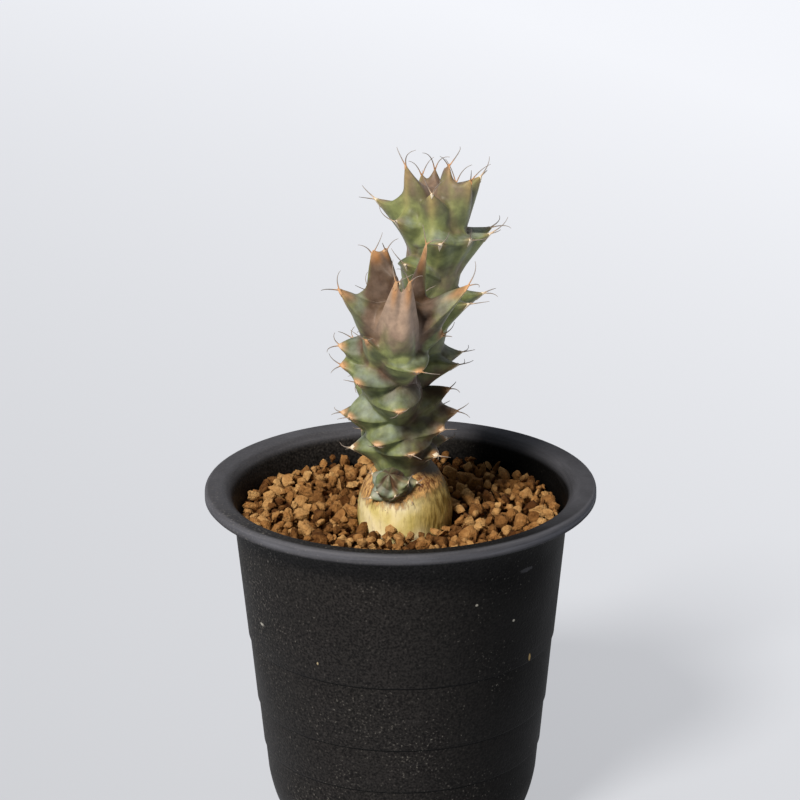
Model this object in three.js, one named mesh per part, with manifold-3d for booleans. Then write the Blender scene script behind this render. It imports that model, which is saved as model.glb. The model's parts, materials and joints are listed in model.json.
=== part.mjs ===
// Potted Euphorbia tortirama in a round black plastic pot.
// Millimetres, +Z up. The origin is the centre of the pot's foot, on the surface that it stands on.
// Azimuths run from 0 at the front (-Y) through 90 at the right (+X) to 180 at the back.
import * as THREE from 'three';
import { mergeVertices } from 'three/addons/utils/BufferGeometryUtils.js';
import Module from 'manifold-3d';

const wasm = await Module();
wasm.setup();

const SEAT_GAP = 0.3;
// Vertices nearer than this are one vertex.
const WELD = 1e-4;

const POT = {
  height: 86,
  rimRadius: 45,
  lipDepth: 2.6,
  lipThickness: 1.1,
  rimFlat: 3.6,
  neckRadius: 37.9,
  neckHeight: 73.5,
  wall: 1.1,
  footRadius: 23.4,
  footWidth: 2,
  footHeight: 1.4,
  footEdge: 0.3,
  floor: 1.6,
  floorRadius: 22.4,
  heelRadius: 31.6,
  heelHeight: 16,
  heelCurve: [28, 3.6, 30.4, 8.5],
  flareCurve: [38.4, 80.5, 40.1, 84.3, 43.9, 84.7],
  rimEdge: 0.3,
  rimRound: 0.9,
  throatCurve: [38.6, 85.4, 37.1, 81.8],
  innerHeelCurve: [29.2, 9.2, 27.4, 4.2],
  stepHeights: [23, 34, 50],
  stepDepth: 0.35,
  drainRadius: 2.4,
  drainRing: 12.5,
  drainCount: 6,
  drainDepth: 8,
  drainSides: 10,
  segments: 48,
};

const SOIL = {
  level: 80,
  grainSpacing: 3.5,
  grainRise: [0.3, 1.7],
  grainRadius: [1.6, 2.5],
  bed: 0.4,
  grainLift: 0.3,
  scatter: 0.6,
  rowPitch: 0.87,
  wallGap: 0.5,
  sideHeights: [6, 10],
  edgeDrop: 1,
  rings: 16,
  sectors: 60,
  seed: 11,
};

const CAUDEX = {
  centre: [0.9, -4.7],
  crown: 94.8,
  shoulder: [[3.4, 94.7], [5.4, 93.8], [6.6, 92.3], [8.0, 90.4], [9.7, 87.0], [10.6, 83.8], [10.8, 80.5]],
  root: [[10.4, 76.5], [9.0, 71], [6.6, 64.5], [4.4, 57], [2.9, 47], [1.7, 37]],
  tip: 33,
  segments: 28,
};

// Each tooth is its azimuth in degrees, its root's height along the stem's axis, its length and its lean
// above the horizontal in degrees. Where they aren't 1, three factors follow: how wide its base is, how tall
// and full its upper side, and how far it runs down. The spiral fills in the teeth behind. A swell is a
// rounded bulge between teeth, or a dent: azimuth, height, how far it stands out, its width and its reach.
const FRONT_STEM = {
  name: 'stem_front',
  axis: [[0.6, -4.8, 91.5], [-0.6, -5.5, 101], [-1.6, -8, 110], [-1.8, -12.5, 120], [-0.8, -17.2, 129],
    [-0.2, -19.2, 133], [0.1, -20.2, 135.6]],
  core: 6.9,
  foot: 6.3,
  footLength: 7,
  dome: 5,
  lean: [2, 30, 70],
  rise: 1.55,
  length: 6.4,
  spiralStart: 150,
  seed: 3,
  teeth: [
    [-80, 7, 4.6, 5], [-22, 12, 5.6, 15, 1, 1.4, 1.2], [14, 7.5, 5, 10, 1.2, 1.9], [48, 5, 5, 0],
    [98, 5.5, 4.5, -5], [-90, 14.5, 5.6, 15], [-57, 17, 5.6, 20, 1.1, 1.3, 1.2],
    [56, 11.5, 6.2, 10, 1.1, 1.2], [84, 12.5, 7.6, 8], [8, 23, 6.6, 25, 1.15, 1.6, 1.3],
    [96, 16, 7, 25], [-38, 29, 6, 25, 1.1, 1.3, 1.3], [-66, 30, 6, 20], [-82, 32.5, 5.8, 20],
    [29, 35.5, 6.8, 28, 1.2, 1.15, 1.3], [85, 38, 4.5, 33], [-39, 37.5, 6.3, 58, 0.9],
    [-89, 43, 9.8, 44, 0.9], [95, 43, 13.1, 53], [-14, 43, 15.2, 91, 0.7, 1.9, 0.7],
    [12, 43, 15.4, 93, 0.8, 1.9, 0.7], [-130, 44, 12.3, 77, 0.7, 1.6], [-147, 44, 12.7, 85, 0.7, 1.6],
    [147, 44, 15.6, 84.5, 0.6], [-138, 6, 6, 8], [-138, 18.3, 6.2, 16], [-136, 25.8, 6.2, 20],
    [130, 9, 6, 8],
  ],
  swells: [[9, 39.5, 2.8, 3.2, 2.4], [-6, 1.5, 1.2, 3.5, 2.5], [95, 26, -1.6, 4.5, 4]],
};

const BACK_STEM = {
  name: 'stem_back',
  axis: [[-0.2, -4, 99], [1.2, -1.8, 110], [3.6, 0.3, 120], [6, 1.3, 130], [8.2, 2, 141], [9.1, 2.3, 155.5]],
  core: 6.4,
  foot: 5.6,
  footLength: 6,
  dome: 8,
  lean: [8, 27, 76],
  rise: 1.5,
  length: 6.6,
  spiralStart: 30,
  seed: 5,
  teeth: [
    [59, 17.5, 6.4, 22], [104, 19.5, 5.6, 21], [-85, 20, 4.6, 20], [-95, 11, 4, 15],
    [-90, 28, 7, 26], [48, 31.5, 7, 28], [85, 33, 7.2, 28], [-33, 38, 7.2, 30, 1, 1.5],
    [2, 44.5, 7.2, 30, 1, 1.8], [37, 45.5, 6.8, 30, 1, 1.2], [74, 45.5, 7, 29], [112, 45.5, 7.6, 21],
    [-49, 48.5, 7.6, 28], [-89, 51, 9.2, 26], [-10, 52.5, 8.2, 54, 1, 1, 1.5],
    [46, 55, 8.2, 56, 1, 1, 1.5], [83, 55.5, 7.6, 52], [-58, 54.5, 10.4, 66, 1.1, 1, 1.2],
    [22, 57, 7.6, 78], [-144, 53.5, 6.2, 80], [-168, 54.5, 6.6, 89], [141, 53.5, 5, 86],
  ],
  swells: [],
};

// A tooth's base on the stem's skin: half its width, measured at the radius pad, and how far it runs above
// and below its root, which a long tooth does more than one of mean length. keel sharpens its crests and
// hollow its flanks; merge is how sharply one tooth gives way to the next.
const TOOTH = {
  halfWidth: 6.0,
  above: 3.6,
  below: 6.4,
  pad: 7,
  mean: 6.6,
  grow: 0.75,
  growLimits: [0.7, 1.6],
  keel: 0.2,
  hollow: 1.5,
  merge: 4,
  spacing: 6.4,
  firstRoot: 4,
  matureBelowTip: 16,
  crownBelowTip: 13,
};

const SPINE = {
  length: [4.6, 6.2],
  radius: 0.26,
  taper: 0.5,
  bend: 0.3,
  elbow: 0.55,
  spread: [26, 36],
  sunk: 0.9,
};

const BUD = {
  axis: [[-1.3, -9.6, 88.3], [-2.0, -12.4, 90.6], [-2.5, -14.6, 93.6]],
  core: 3.7,
  foot: 3.7,
  footLength: 1,
  dome: 3.8,
  teeth: [
    [-72, 2.2, 2.4, 20], [-20, 1, 1.8, 5], [34, 1.6, 2.0, 10], [78, 2.6, 2.4, 20], [-130, 3, 1.8, 30],
    [8, 4.2, 1.6, 40], [-42, 4.6, 1.9, 50], [60, 5, 1.8, 50], [160, 4.5, 1.6, 45],
  ],
  swells: [[-25, 3.6, 0.5, 2.2, 1.3], [45, 3.2, 0.5, 2.0, 1.4]],
};

// The spiral of hidden teeth: its turn from one to the next, the side of the stem that it fills, where the
// cosine of the azimuth is below this, and how near a placed tooth keeps it off.
const SPIRAL = { turn: 137.5, side: -0.75, clear: 1.15, belowTip: 5 };

const STEM_GRID = { around: 30, along: 36 };
const BUD_GRID = { around: 18, along: 10 };
const BUD_SCALE = 0.42;
// The last ring of a stem's skin lies this far below its tip.
const SKIN_TOP = 0.4;

const FINISH = {
  pot: { color: 0x2b2b2b, roughness: 0.6, metalness: 0 },
  soil: { color: 0xb07c4a, roughness: 0.95, metalness: 0 },
  caudex: { color: 0xc2b468, roughness: 0.7, metalness: 0 },
  stem: { color: 0x6c7a58, roughness: 0.6, metalness: 0 },
  bud: { color: 0x6f8a62, roughness: 0.7, metalness: 0 },
};

const radians = THREE.MathUtils.degToRad;

function seeded(seed) {
  let state = seed >>> 0;
  return () => {
    state = (state + 0x6d2b79f5) >>> 0;
    let t = state;
    t = Math.imul(t ^ (t >>> 15), t | 1);
    t ^= t + Math.imul(t ^ (t >>> 7), t | 61);
    return ((t ^ (t >>> 14)) >>> 0) / 4294967296;
  };
}

const between = (random, [low, high]) => low + (high - low) * random();

function solidOf(geometry) {
  const plain = geometry.clone();
  for (const name of Object.keys(plain.attributes)) {
    if (name !== 'position') plain.deleteAttribute(name);
  }
  const merged = mergeVertices(plain, WELD);
  const vertProperties = new Float32Array(merged.attributes.position.array);
  const triVerts = new Uint32Array(merged.index.array);
  return new wasm.Manifold(new wasm.Mesh({ numProp: 3, vertProperties, triVerts }));
}

function geometryOf(solid) {
  const { numProp, vertProperties, triVerts } = solid.getMesh();
  const positions = new Float32Array((vertProperties.length / numProp) * 3);
  for (let i = 0; i < positions.length / 3; i++) {
    positions.set(vertProperties.subarray(i * numProp, i * numProp + 3), i * 3);
  }
  const geometry = new THREE.BufferGeometry();
  geometry.setAttribute('position', new THREE.BufferAttribute(positions, 3));
  geometry.setIndex([...triVerts]);
  geometry.computeVertexNormals();
  return geometry;
}

// A cut can leave loose scraps, so the largest body is the piece.
function largestBody(solid) {
  return solid.decompose().reduce((best, body) => (body.volume() > best.volume() ? body : best));
}

// Rings of points, first ring closed by a point below it and last ring by a point above it.
function closedRings(start, rings, end) {
  const around = rings[0].length;
  const points = [start, ...rings.flat(), end];
  const index = [];
  const at = (ring, i) => 1 + ring * around + (i % around);
  for (let i = 0; i < around; i++) {
    index.push(0, at(0, i + 1), at(0, i));
    for (let ring = 0; ring + 1 < rings.length; ring++) {
      index.push(at(ring, i), at(ring, i + 1), at(ring + 1, i + 1));
      index.push(at(ring, i), at(ring + 1, i + 1), at(ring + 1, i));
    }
    index.push(at(rings.length - 1, i), at(rings.length - 1, i + 1), points.length - 1);
  }
  const geometry = new THREE.BufferGeometry().setFromPoints(points);
  geometry.setIndex(index);
  return geometry;
}

// Lathe profiles run in (radius, height) and are turned so that the height is +Z.
function lathe(profile, segments) {
  return new THREE.LatheGeometry(profile, segments).rotateX(Math.PI / 2);
}

function stemAxis(points) {
  const curve = new THREE.CatmullRomCurve3(points.map((p) => new THREE.Vector3(...p)), false, 'centripetal');
  curve.arcLengthDivisions = 400;
  return { curve, length: curve.getLength() };
}

// The point at a height along the axis, a radius from it and an azimuth round it.
function onStem(axis, height, radius, azimuth) {
  const t = THREE.MathUtils.clamp(height / axis.length, 0, 1);
  const tangent = axis.curve.getTangentAt(t);
  const centre = axis.curve.getPointAt(t).addScaledVector(tangent, height - t * axis.length);
  const front = new THREE.Vector3(0, -1, 0);
  front.addScaledVector(tangent, -front.dot(tangent)).normalize();
  const right = new THREE.Vector3().crossVectors(front, tangent).normalize().negate();
  return centre
    .addScaledVector(front, radius * Math.cos(azimuth))
    .addScaledVector(right, radius * Math.sin(azimuth));
}

const turnBetween = (a, b) => THREE.MathUtils.euclideanModulo(a - b + Math.PI, 2 * Math.PI) - Math.PI;

function leanAt(stem, height, length) {
  const [low, middle, top] = stem.lean;
  const rise = THREE.MathUtils.clamp(height / (length - TOOTH.matureBelowTip), 0, 1);
  const crown = THREE.MathUtils.smoothstep(height, length - TOOTH.crownBelowTip, length);
  return low + (middle - low) * rise + (top - middle) * crown;
}

function placedTeeth(rows) {
  return rows.map(([azimuth, root, length, lean, wide = 1, full = 1, low = 1]) => (
    { azimuth: radians(azimuth), root, length, lean: radians(lean), wide, full, low }));
}

// The placed teeth, then the golden-angle spiral wherever none of them is near.
function allTeeth(stem, length) {
  const teeth = placedTeeth(stem.teeth);
  const placed = teeth.length;
  for (let k = 0; TOOTH.firstRoot + k * stem.rise < length - SPIRAL.belowTip; k++) {
    const root = TOOTH.firstRoot + k * stem.rise;
    const azimuth = radians(stem.spiralStart + k * SPIRAL.turn);
    const near = teeth.some((tooth, i) => {
      const gap = Math.hypot(turnBetween(azimuth, tooth.azimuth) * TOOTH.pad, root - tooth.root);
      return gap < TOOTH.spacing * (i < placed ? SPIRAL.clear : 1);
    });
    if (!near && Math.cos(azimuth) < SPIRAL.side) {
      const lean = radians(leanAt(stem, root, length));
      teeth.push({ azimuth, root, length: stem.length, lean, wide: 1, full: 1, low: 1 });
    }
  }
  return teeth;
}

// How far the surface stands out at a place on the stem, and how steeply it leans there.
function toothField(teeth, scale, azimuth, height) {
  let stand = 0;
  let lean = 0;
  for (const tooth of teeth) {
    const grown = THREE.MathUtils.clamp(tooth.length / TOOTH.mean, ...TOOTH.growLimits) ** TOOTH.grow;
    const up = height - tooth.root;
    const u = (Math.abs(turnBetween(azimuth, tooth.azimuth)) * TOOTH.pad) / (TOOTH.halfWidth * tooth.wide);
    const reach = up > 0 ? TOOTH.above * tooth.full : TOOTH.below * grown * tooth.low;
    const v = Math.abs(up) / (reach * scale);
    const near = Math.max(0, 1 - (1 - TOOTH.keel) * Math.hypot(u, v) - TOOTH.keel * (u + v));
    const hollow = up > 0 ? TOOTH.hollow / tooth.full : TOOTH.hollow;
    const share = (tooth.length * near ** hollow) ** TOOTH.merge;
    stand += share;
    lean += share * tooth.lean;
  }
  return { stand: stand ** (1 / TOOTH.merge), lean: stand > 0 ? lean / stand : 0 };
}

function coreRadius(stem, height, length) {
  const foot = THREE.MathUtils.smoothstep(height, 0, stem.footLength);
  const dome = THREE.MathUtils.clamp((height - (length - stem.dome)) / stem.dome, 0, 1);
  return (stem.foot + (stem.core - stem.foot) * foot) * Math.sqrt(Math.max(0, 1 - dome * dome));
}

function swellOut(stem, azimuth, height) {
  return stem.swells.reduce((sum, [turn, middle, out, width, reach]) => {
    const side = (turnBetween(azimuth, radians(turn)) * TOOTH.pad) / width;
    return sum + out * Math.exp(-(side ** 2) - ((height - middle) / reach) ** 2);
  }, 0);
}

function stemPoint(stem, axis, teeth, scale, grow, azimuth, height) {
  const { stand, lean } = toothField(teeth, scale, azimuth, height);
  const skin = coreRadius(stem, height, axis.length) + swellOut(stem, azimuth, height);
  const radius = skin + stand * Math.cos(lean) + grow;
  return onStem(axis, height + stand * Math.sin(lean), radius, azimuth);
}

// The skin of a stem as rings of points. The grid is drawn to each tooth's own place, so no tip is lost.
function stemSkin(stem, axis, teeth, grid, { scale = 1, grow = 0 } = {}) {
  const top = axis.length - SKIN_TOP;
  const places = [];
  for (let j = 0; j < grid.along; j++) {
    const height = (top * j) / (grid.along - 1);
    places.push(Array.from({ length: grid.around }, (_, i) => [
      (2 * Math.PI * (i + 0.5 * (j % 2))) / grid.around, height]));
  }
  for (const tooth of teeth) {
    const j = Math.round((tooth.root / top) * (grid.along - 1));
    if (j < 1 || j >= grid.along - 1) continue;
    const turn = THREE.MathUtils.euclideanModulo(tooth.azimuth / (2 * Math.PI), 1) * grid.around;
    const i = Math.round(turn - 0.5 * (j % 2)) % grid.around;
    places[j][(i + grid.around) % grid.around] = [tooth.azimuth, tooth.root];
  }
  const rings = places.map((ring) => ring.map(([azimuth, height]) => (
    stemPoint(stem, axis, teeth, scale, grow, azimuth, height))));
  return closedRings(onStem(axis, 0, 0, 0), rings, onStem(axis, axis.length + grow, 0, 0));
}

// One spine: three-sided, bent once along its length, its root sunk in the tooth.
function spine(root, direction, bend, length) {
  const side = new THREE.Vector3().crossVectors(direction, bend).normalize();
  const centreAt = (t) => root.clone()
    .addScaledVector(direction, -SPINE.sunk + (length + SPINE.sunk) * t)
    .addScaledVector(bend, length * SPINE.bend * t * t);
  const rings = [0, SPINE.elbow].map((t) => [0, 1, 2].map((k) => {
    const radius = SPINE.radius * (1 - SPINE.taper * t);
    return centreAt(t)
      .addScaledVector(bend, radius * Math.cos((k * 2 * Math.PI) / 3))
      .addScaledVector(side, radius * Math.sin((k * 2 * Math.PI) / 3));
  }));
  return closedRings(centreAt(0), rings, centreAt(1));
}

// A spine that would run into the other stem is left out, as the plant has none there.
function withSpines(solid, stem, axis, teeth, random, other) {
  let result = solid;
  for (const tooth of teeth) {
    const core = coreRadius(stem, tooth.root, axis.length);
    const radius = core + tooth.length * Math.cos(tooth.lean);
    const height = tooth.root + tooth.length * Math.sin(tooth.lean);
    const tip = onStem(axis, height, radius, tooth.azimuth);
    const inner = onStem(axis, height - Math.sin(tooth.lean), radius - Math.cos(tooth.lean), tooth.azimuth);
    const out = tip.clone().sub(inner).normalize();
    const up = axis.curve.getTangentAt(THREE.MathUtils.clamp(height / axis.length, 0, 1));
    const across = new THREE.Vector3().crossVectors(up, out).normalize();
    for (const hand of [-1, 1]) {
      const turn = radians(between(random, SPINE.spread));
      const direction = out.clone()
        .multiplyScalar(Math.cos(turn))
        .addScaledVector(across, hand * Math.sin(turn));
      const bend = up.clone().addScaledVector(direction, -up.dot(direction)).normalize();
      const needle = solidOf(spine(tip, direction.normalize(), bend, between(random, SPINE.length)));
      if (other.intersect(needle).volume() === 0) result = result.add(needle);
    }
  }
  return result;
}

function potProfiles() {
  const p = POT;
  const floor = p.footHeight + p.floor;
  const underRim = p.height - p.lipDepth;
  const outer = new THREE.Path();
  outer.moveTo(0, p.footHeight);
  outer.lineTo(p.footRadius - p.footWidth, p.footHeight);
  outer.lineTo(p.footRadius - p.footWidth + p.footEdge, 0);
  outer.lineTo(p.footRadius, 0);
  outer.bezierCurveTo(...p.heelCurve, p.heelRadius, p.heelHeight);
  const widening = p.neckRadius - p.stepDepth * p.stepHeights.length - p.heelRadius;
  const slope = widening / (p.neckHeight - p.heelHeight);
  let radius = p.heelRadius;
  let height = p.heelHeight;
  for (const step of p.stepHeights) {
    radius += slope * (step - height);
    outer.lineTo(radius, step);
    radius += p.stepDepth;
    height = step + p.stepDepth;
    outer.lineTo(radius, height);
  }
  outer.lineTo(p.neckRadius, p.neckHeight);
  outer.bezierCurveTo(...p.flareCurve);
  const wall = outer.getPoints(3);
  const rim = new THREE.Path();
  rim.moveTo(p.rimRadius - p.lipThickness, underRim);
  rim.lineTo(p.rimRadius - p.rimEdge, underRim);
  rim.lineTo(p.rimRadius, underRim + p.rimEdge);
  rim.quadraticCurveTo(p.rimRadius, p.height, p.rimRadius - p.rimRound, p.height);
  rim.lineTo(p.rimRadius - p.rimFlat, p.height);
  const inside = new THREE.Path();
  inside.moveTo(p.rimRadius - p.rimFlat, p.height);
  inside.bezierCurveTo(...p.throatCurve, p.neckRadius - p.wall, p.neckHeight);
  inside.lineTo(p.heelRadius - p.wall, p.heelHeight);
  inside.bezierCurveTo(...p.innerHeelCurve, p.floorRadius, floor);
  inside.lineTo(0, floor);
  return { skin: [...wall, ...rim.getPoints(2), ...inside.getPoints(4).slice(1)], inside };
}

function buildPot() {
  const { skin } = potProfiles();
  let solid = solidOf(lathe(skin, POT.segments));
  for (let i = 0; i <= POT.drainCount; i++) {
    const turn = (i * 2 * Math.PI) / POT.drainCount;
    const ring = i < POT.drainCount ? POT.drainRing : 0;
    const { drainRadius, drainDepth, drainSides } = POT;
    const hole = new THREE.CylinderGeometry(drainRadius, drainRadius, drainDepth, drainSides);
    hole.rotateX(Math.PI / 2);
    hole.translate(ring * Math.cos(turn), ring * Math.sin(turn), POT.footHeight);
    solid = solid.subtract(solidOf(hole));
  }
  return solid;
}

function caudexProfile(grow) {
  const points = [[0, CAUDEX.crown + grow], ...CAUDEX.shoulder, ...CAUDEX.root, [0, CAUDEX.tip - grow]];
  return points.reverse().map(([radius, height], i, all) => (
    new THREE.Vector2(i === 0 || i === all.length - 1 ? 0 : radius + grow, height)));
}

function buildCaudex(grow) {
  const geometry = lathe(caudexProfile(grow), CAUDEX.segments);
  geometry.translate(CAUDEX.centre[0], CAUDEX.centre[1], 0);
  return solidOf(geometry);
}

// Grains of the potting mix, as domes in relief over a level bed.
function soilGrains() {
  const random = seeded(SOIL.seed);
  const grains = [];
  const rows = Math.ceil(POT.rimRadius / SOIL.grainSpacing);
  for (let row = -rows; row <= rows; row++) {
    for (let column = -rows; column <= rows; column++) {
      const x = (column + 0.5 * (row % 2) + SOIL.scatter * (random() - 0.5)) * SOIL.grainSpacing;
      const y = (row * SOIL.rowPitch + SOIL.scatter * (random() - 0.5)) * SOIL.grainSpacing;
      const rise = between(random, SOIL.grainRise);
      grains.push({ x, y, rise, radius: between(random, SOIL.grainRadius) });
    }
  }
  return grains;
}

function soilHeight(grains, x, y) {
  const bed = SOIL.level - SOIL.bed;
  let height = bed;
  for (const grain of grains) {
    const away = Math.hypot(x - grain.x, y - grain.y) / grain.radius;
    if (away < 1) height = Math.max(height, bed + SOIL.grainLift + grain.rise * Math.sqrt(1 - away * away));
  }
  return height;
}

function buildSoil() {
  const grains = soilGrains();
  const { inside } = potProfiles();
  const wallLine = inside.getPoints(4);
  const radiusAt = (height) => {
    const i = wallLine.findIndex((point) => point.y <= height);
    const [high, low] = [wallLine[i - 1], wallLine[i]];
    return THREE.MathUtils.mapLinear(height, low.y, high.y, low.x, high.x);
  };
  const facet = Math.cos(Math.PI / POT.segments);
  const soilRadius = (height) => radiusAt(height) * facet - SOIL.wallGap;
  const floor = POT.footHeight + POT.floor + SEAT_GAP;
  const ring = (radius, height) => Array.from({ length: SOIL.sectors }, (_, i) => {
    const turn = (2 * Math.PI * i) / SOIL.sectors;
    const x = radius * Math.sin(turn);
    const y = -radius * Math.cos(turn);
    return new THREE.Vector3(x, y, height ?? soilHeight(grains, x, y));
  });
  const sides = [floor, ...SOIL.sideHeights, POT.heelHeight, POT.neckHeight, SOIL.level - SOIL.edgeDrop];
  const rings = sides.map((height) => ring(soilRadius(height), height));
  for (let i = 0; i < SOIL.rings; i++) {
    rings.push(ring(soilRadius(SOIL.level) * (1 - i / SOIL.rings)));
  }
  const top = new THREE.Vector3(0, 0, SOIL.level);
  const geometry = closedRings(new THREE.Vector3(0, 0, floor), rings, top);
  return largestBody(solidOf(geometry).subtract(buildCaudex(SEAT_GAP)));
}

// The room that a stem takes up, with the gap round it on its flanks and above and below its teeth.
function grownStem(stem) {
  const axis = stemAxis(stem.axis);
  const skin = solidOf(stemSkin(stem, axis, allTeeth(stem, axis.length), STEM_GRID, { grow: SEAT_GAP }));
  return skin.add(skin.translate([0, 0, SEAT_GAP])).add(skin.translate([0, 0, -SEAT_GAP]));
}

function buildStem(stem, seats, other) {
  const axis = stemAxis(stem.axis);
  const teeth = allTeeth(stem, axis.length);
  let solid = solidOf(stemSkin(stem, axis, teeth, STEM_GRID));
  for (const seat of seats) solid = solid.subtract(seat);
  return largestBody(withSpines(largestBody(solid), stem, axis, teeth, seeded(stem.seed), other));
}

function buildBud(seats) {
  const axis = stemAxis(BUD.axis);
  let solid = solidOf(stemSkin(BUD, axis, placedTeeth(BUD.teeth), BUD_GRID, { scale: BUD_SCALE }));
  for (const seat of seats) solid = solid.subtract(seat);
  return largestBody(solid);
}

function piece(name, solid, finish) {
  const mesh = new THREE.Mesh(geometryOf(solid), new THREE.MeshStandardMaterial(finish));
  mesh.name = name;
  return mesh;
}

const caudexSeat = buildCaudex(SEAT_GAP);
const frontSeat = grownStem(FRONT_STEM);
const frontStem = buildStem(FRONT_STEM, [caudexSeat], grownStem(BACK_STEM));
const backStem = buildStem(BACK_STEM, [caudexSeat, frontSeat], frontSeat.add(frontStem));

const plant = new THREE.Group();
plant.add(
  piece('caudex', buildCaudex(0), FINISH.caudex),
  piece('stem_front', frontStem, FINISH.stem),
  piece('stem_back', backStem, FINISH.stem),
  piece('offset_bud', buildBud([caudexSeat, frontSeat]), FINISH.bud),
);

const object = new THREE.Group();
object.add(
  piece('pot', buildPot(), FINISH.pot),
  piece('soil', buildSoil(), FINISH.soil),
  plant,
);

export default object;
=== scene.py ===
import json
from math import cos, pi, radians, sin

import bmesh
import bpy
import numpy as np
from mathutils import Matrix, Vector, noise

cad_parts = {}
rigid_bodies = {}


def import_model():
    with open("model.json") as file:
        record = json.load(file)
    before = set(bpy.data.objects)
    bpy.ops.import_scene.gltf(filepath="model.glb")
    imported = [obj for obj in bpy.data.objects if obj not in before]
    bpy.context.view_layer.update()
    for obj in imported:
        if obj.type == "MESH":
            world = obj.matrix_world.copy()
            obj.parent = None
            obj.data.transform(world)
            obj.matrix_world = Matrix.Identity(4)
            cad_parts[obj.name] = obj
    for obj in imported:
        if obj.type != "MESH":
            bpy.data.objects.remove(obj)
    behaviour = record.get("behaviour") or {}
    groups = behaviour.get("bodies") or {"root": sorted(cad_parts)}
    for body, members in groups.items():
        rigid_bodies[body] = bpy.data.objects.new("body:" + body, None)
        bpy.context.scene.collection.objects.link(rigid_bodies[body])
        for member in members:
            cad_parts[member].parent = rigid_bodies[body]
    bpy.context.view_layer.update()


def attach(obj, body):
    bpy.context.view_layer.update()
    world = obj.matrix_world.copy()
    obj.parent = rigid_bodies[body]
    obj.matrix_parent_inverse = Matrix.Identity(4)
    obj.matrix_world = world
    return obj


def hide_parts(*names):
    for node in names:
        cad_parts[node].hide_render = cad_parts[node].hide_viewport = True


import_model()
print("frame loaded")

mm = 0.001


def hexColour(text):
    # sRGB hex to the linear colour that a shader wants.
    channels = [int(text[i:i + 2], 16) / 255 for i in (1, 3, 5)]
    return tuple(c / 12.92 if c <= 0.04045 else ((c + 0.055) / 1.055) ** 2.4 for c in channels) + (1.0,)


# Camera and light, matched to the picture's own view

camera = dict(distance=700, elevation=20.51, pitch=18.95, roll=-0.35, lens=136.9, aim=86)
studio = dict(floor="#7a7f87", glow="#f3f4f8", glowSlope=(0.4, 0.24, 0), glowMiddle=0.515,
              glowLimits=(0.4, 0.76), world="#eef2f8", worldPower=0.13)
lights = (dict(name="window_left", kind="SUN", energy=3.9, colour="#fff6ea", tilt=46, turn=-31,
               place=(0, 0, 0), extent=dict(angle=radians(14))),  # a wide sun has soft shadows
          dict(name="back_wash", kind="AREA", energy=6, colour="#f2f5ff", tilt=21.0375, turn=180,
               place=(0, 1.5, 1.3), extent=dict(shape="RECTANGLE", size=1.6, size_y=0.8)))


def newObject(name, data):
    obj = bpy.data.objects.new(name, data)
    bpy.context.collection.objects.link(obj)
    return obj


def addCamera(c):
    data = bpy.data.cameras.new("studio_camera")
    data.lens = c["lens"]
    data.sensor_width = 36
    data.clip_end = 20
    obj = newObject("studio_camera", data)
    e = radians(c["elevation"])
    obj.location = (0, -c["distance"] * cos(e) * mm, (c["aim"] + c["distance"] * sin(e)) * mm)
    obj.rotation_euler = (pi / 2 - radians(c["pitch"]), 0, 0)
    obj.rotation_euler.rotate_axis("Z", radians(c["roll"]))
    bpy.context.scene.camera = obj


def addLight(light):
    data = bpy.data.lights.new(light["name"], light["kind"])
    data.energy, data.color = light["energy"], hexColour(light["colour"])[:3]
    for key, value in light["extent"].items():
        setattr(data, key, value)
    obj = newObject(light["name"], data)
    obj.location = light["place"]
    obj.rotation_euler = (radians(light["tilt"]), 0, radians(light["turn"]))


addCamera(camera)
for light in lights:
    addLight(light)
world = bpy.data.worlds.new("studio_world")
bpy.context.scene.world = world
world.use_nodes = True
sky = world.node_tree.nodes["Background"].inputs
sky["Color"].default_value = hexColour(studio["world"])
sky["Strength"].default_value = studio["worldPower"]
bpy.context.scene.view_settings.view_transform = "Standard"
print("camera and lights set")


# Small helpers for meshes and materials

def addMesh(name, points, faces, edges=(), scale=mm):
    mesh = bpy.data.meshes.new(name)
    mesh.from_pydata((np.asarray(points, float) * scale).tolist(), list(edges), faces)
    mesh.polygons.foreach_set("use_smooth", [True] * len(mesh.polygons))
    mesh.update()
    return newObject(name, mesh)


def closedRings(grid, start, end):
    # Points and faces of stacked rings, closed by one point below and one above.
    rings, around = grid.shape[:2]
    points = np.vstack([grid.reshape(-1, 3), start, end])
    top = (rings - 1) * around
    pairs = [(i, (i + 1) % around) for i in range(around)]
    faces = [(a + i, a + k, a + around + k, a + around + i) for a in range(0, top, around) for i, k in pairs]
    for i, k in pairs:
        faces += [(rings * around, k, i), (top + i, top + k, rings * around + 1)]
    return points, faces


def setAttribute(obj, name, values):
    attribute = obj.data.attributes.new(name, "FLOAT", "POINT")
    attribute.data.foreach_set("value", np.asarray(values, float).ravel())


# Settings that many nodes share
rgba = dict(data_type="RGBA")
eased = dict(interpolation_type="SMOOTHSTEP")
times = dict(operation="MULTIPLY")
timesPlus = dict(operation="MULTIPLY_ADD")
under, over = 6, 7  # a Mix node's two colour sockets


def addNode(tree, kind, inputs=None, **settings):
    # One node with its settings and links. An input is a value, a colour in hex, a socket, or another node,
    # whose first live output is linked. A pair under From or To is that range's Min and Max.
    node = tree.nodes.new(kind)
    for key, value in settings.items():
        setattr(node, key, value)
    inputs = dict(inputs or {})
    for key in inputs.keys() & {"From", "To"}:
        inputs[key + " Min"], inputs[key + " Max"] = inputs.pop(key)
    for key, value in inputs.items():
        if isinstance(value, str) and value[0] == "#":
            value = hexColour(value)
        if isinstance(value, bpy.types.Node):
            value = next(socket for socket in value.outputs if socket.enabled)
        if isinstance(value, bpy.types.NodeSocket):
            tree.links.new(value, node.inputs[key])
        else:
            node.inputs[key].default_value = value
    return node


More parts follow.
